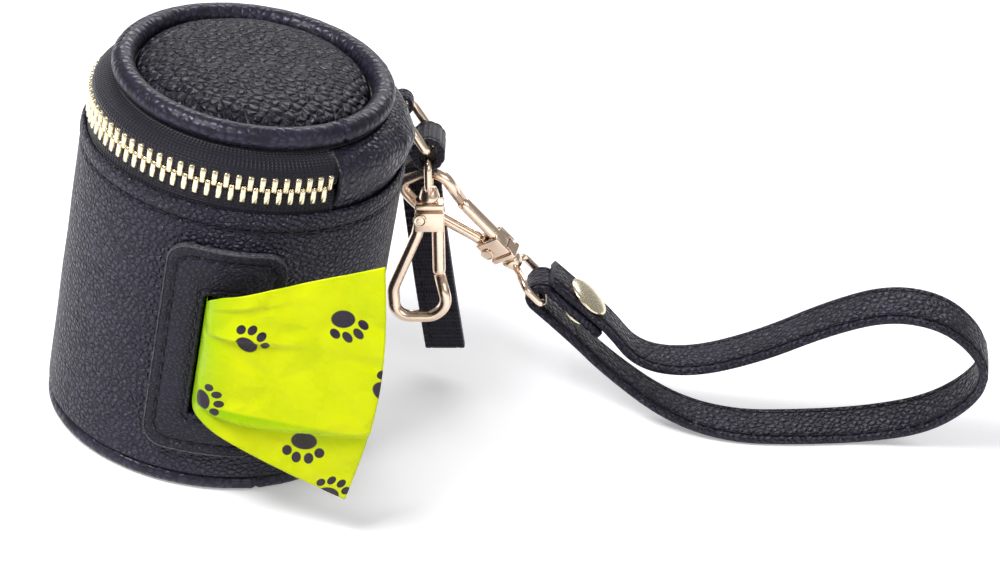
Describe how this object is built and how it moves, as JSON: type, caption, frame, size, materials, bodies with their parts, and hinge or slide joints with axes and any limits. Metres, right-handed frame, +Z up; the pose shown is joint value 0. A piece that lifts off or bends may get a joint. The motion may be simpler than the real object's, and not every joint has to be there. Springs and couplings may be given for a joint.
{
  "type": "dog waste bag carrier",
  "caption": "Round zipped leather carrier for a roll of dog waste bags, with a front dispensing slot, a padded lid, a D-ring, snap clasps and a snap wrist strap.",
  "frame": {"origin": "centre of the round base, on the surface it stands on", "axes": "+Z up along the carrier's axis, -Y out of the dispensing slot, +X towards the hinge, ring and strap"},
  "size_m": [0.1856, 0.0783, 0.0774],
  "materials": {
    "leather": "fine pebble grain, satin",
    "strap_leather": "smooth, satin",
    "board": "matt",
    "lining": "matt",
    "foam": "matt",
    "zip_tape": "woven, matt",
    "zip_metal": "polished",
    "webbing": "ribbed, matt",
    "gold_metal": "polished, pale rose gold",
    "spring_steel": "bright",
    "film": "satin film, lime green",
    "card": "plain card"
  },
  "bodies": {
    "carrier": {"body_wall": "leather", "body_board": "board", "body_lining": "lining", "slot_patch": "leather", "base_panel": "leather", "base_board": "board", "base_piping": "leather", "lower_zip_tape": "zip_tape", "lower_zip_teeth": "zip_metal", "hinge_panel": "leather", "ring_tab": "leather"},
    "lid": {"lid_panel": "leather", "lid_pad": "foam", "lid_board": "board", "lid_lining": "lining", "lid_piping": "leather", "upper_zip_tape": "zip_tape", "upper_zip_teeth": "zip_metal"},
    "zip_slider": {"zip_slider": "zip_metal"},
    "zip_pull": {"zip_pull": "zip_metal"},
    "bag_roll": {"bag_roll": "film", "roll_core": "card"},
    "bag_tail": {"bag_tail": "film"},
    "d_ring": {"d_ring": "gold_metal"},
    "leash_strap": {"leash_strap": "webbing"},
    "holder_eye": {"holder_clasp_eye": "gold_metal"},
    "holder_hook": {"holder_clasp_hook": "gold_metal", "holder_clasp_rivet": "gold_metal", "holder_clasp_spring": "spring_steel"},
    "holder_gate": {"holder_clasp_gate": "gold_metal"},
    "wrist_hook": {"wrist_clasp_hook": "gold_metal", "wrist_clasp_rivet": "gold_metal", "wrist_clasp_spring": "spring_steel"},
    "wrist_gate": {"wrist_clasp_gate": "gold_metal"},
    "wrist_eye": {"wrist_clasp_eye": "gold_metal"},
    "wrist_strap": {"wrist_strap": "strap_leather", "snap_cap": "gold_metal", "snap_post": "gold_metal", "snap_socket": "gold_metal"}
  },
  "joints": [
    {"name": "lid_hinge", "type": "hinge", "parent": "carrier", "child": "lid", "pos_m": [0.03, 0, 0.066], "axis": [0, 1, 0], "range_deg": [0, 100], "deforming": ["hinge_panel", "upper_zip_tape", "upper_zip_teeth"]},
    {"name": "zip_slide", "type": "hinge", "parent": "carrier", "child": "zip_slider", "pos_m": [0, 0, 0.0659], "axis": [0, 0, 1], "range_deg": [0, 240], "deforming": ["lower_zip_teeth", "upper_zip_teeth"]},
    {"name": "pull_swing", "type": "hinge", "parent": "zip_slider", "child": "zip_pull", "pos_m": [0.01963, 0.02653, 0.0659], "axis": [0, 0, -1], "range_deg": [0, 120]},
    {"name": "roll_spin", "type": "hinge", "parent": "carrier", "child": "bag_roll", "pos_m": [0.012, 0.001, 0.03], "axis": [0, 0, 1], "range_deg": [0, 80]},
    {"name": "bag_pull", "type": "slide", "parent": "carrier", "child": "bag_tail", "axis": [0, -1, 0], "range_m": [0, 0.0196]},
    {"name": "ring_swing", "type": "hinge", "parent": "carrier", "child": "d_ring", "pos_m": [0.02931, 0.021, 0.06229], "axis": [0, -1, 0], "range_deg": [0, 30]},
    {"name": "strap_swing", "type": "hinge", "parent": "d_ring", "child": "leash_strap", "pos_m": [0.0356, 0.021, 0.0549], "axis": [0, -1, 0], "range_deg": [-10, 10]},
    {"name": "holder_eye_swing", "type": "hinge", "parent": "leash_strap", "child": "holder_eye", "pos_m": [0.03603, 0.021, 0.05244], "axis": [0, -1, 0], "range_deg": [0, 15]},
    {"name": "holder_swivel", "type": "hinge", "parent": "holder_eye", "child": "holder_hook", "pos_m": [0.03603, 0.021, 0.05244], "axis": [-0.1736, 0, 0.9848], "range_deg": [-20, 45]},
    {"name": "holder_gate_swing", "type": "hinge", "parent": "holder_hook", "child": "holder_gate", "pos_m": [0.03665, 0.021, 0.03803], "axis": [0, 1, 0], "range_deg": [0, 18], "stiffness_Nm_per_rad": 0.02, "springref_deg": -11.46, "deforming": ["holder_clasp_spring"]},
    {"name": "hook_link", "type": "hinge", "parent": "holder_eye", "child": "wrist_hook", "pos_m": [0.03723, 0.02395, 0.04564], "axis": [-0.1025, 0.807, 0.5815], "range_deg": [-4, 4]},
    {"name": "wrist_gate_swing", "type": "hinge", "parent": "wrist_hook", "child": "wrist_gate", "pos_m": [0.05176, 0.02566, 0.03082], "axis": [-0.2002, -0.9117, -0.3588], "range_deg": [0, 18], "stiffness_Nm_per_rad": 0.02, "springref_deg": -11.46, "deforming": ["wrist_clasp_spring"]},
    {"name": "wrist_swivel", "type": "hinge", "parent": "wrist_hook", "child": "wrist_eye", "pos_m": [0.06364, 0.02626, 0.02266], "axis": [0.7463, 0.0953, -0.6587], "range_deg": [-15, 15]},
    {"name": "wrist_strap_swing", "type": "hinge", "parent": "wrist_eye", "child": "wrist_strap", "pos_m": [0.06364, 0.02626, 0.02266], "axis": [-0.0599, 0.9953, 0.0762], "range_deg": [-15, 15]}
  ],
  "couplings": [
    {"joint": "bag_pull", "follows": "roll_spin", "m_per_rad": 0.0139}
  ]
}
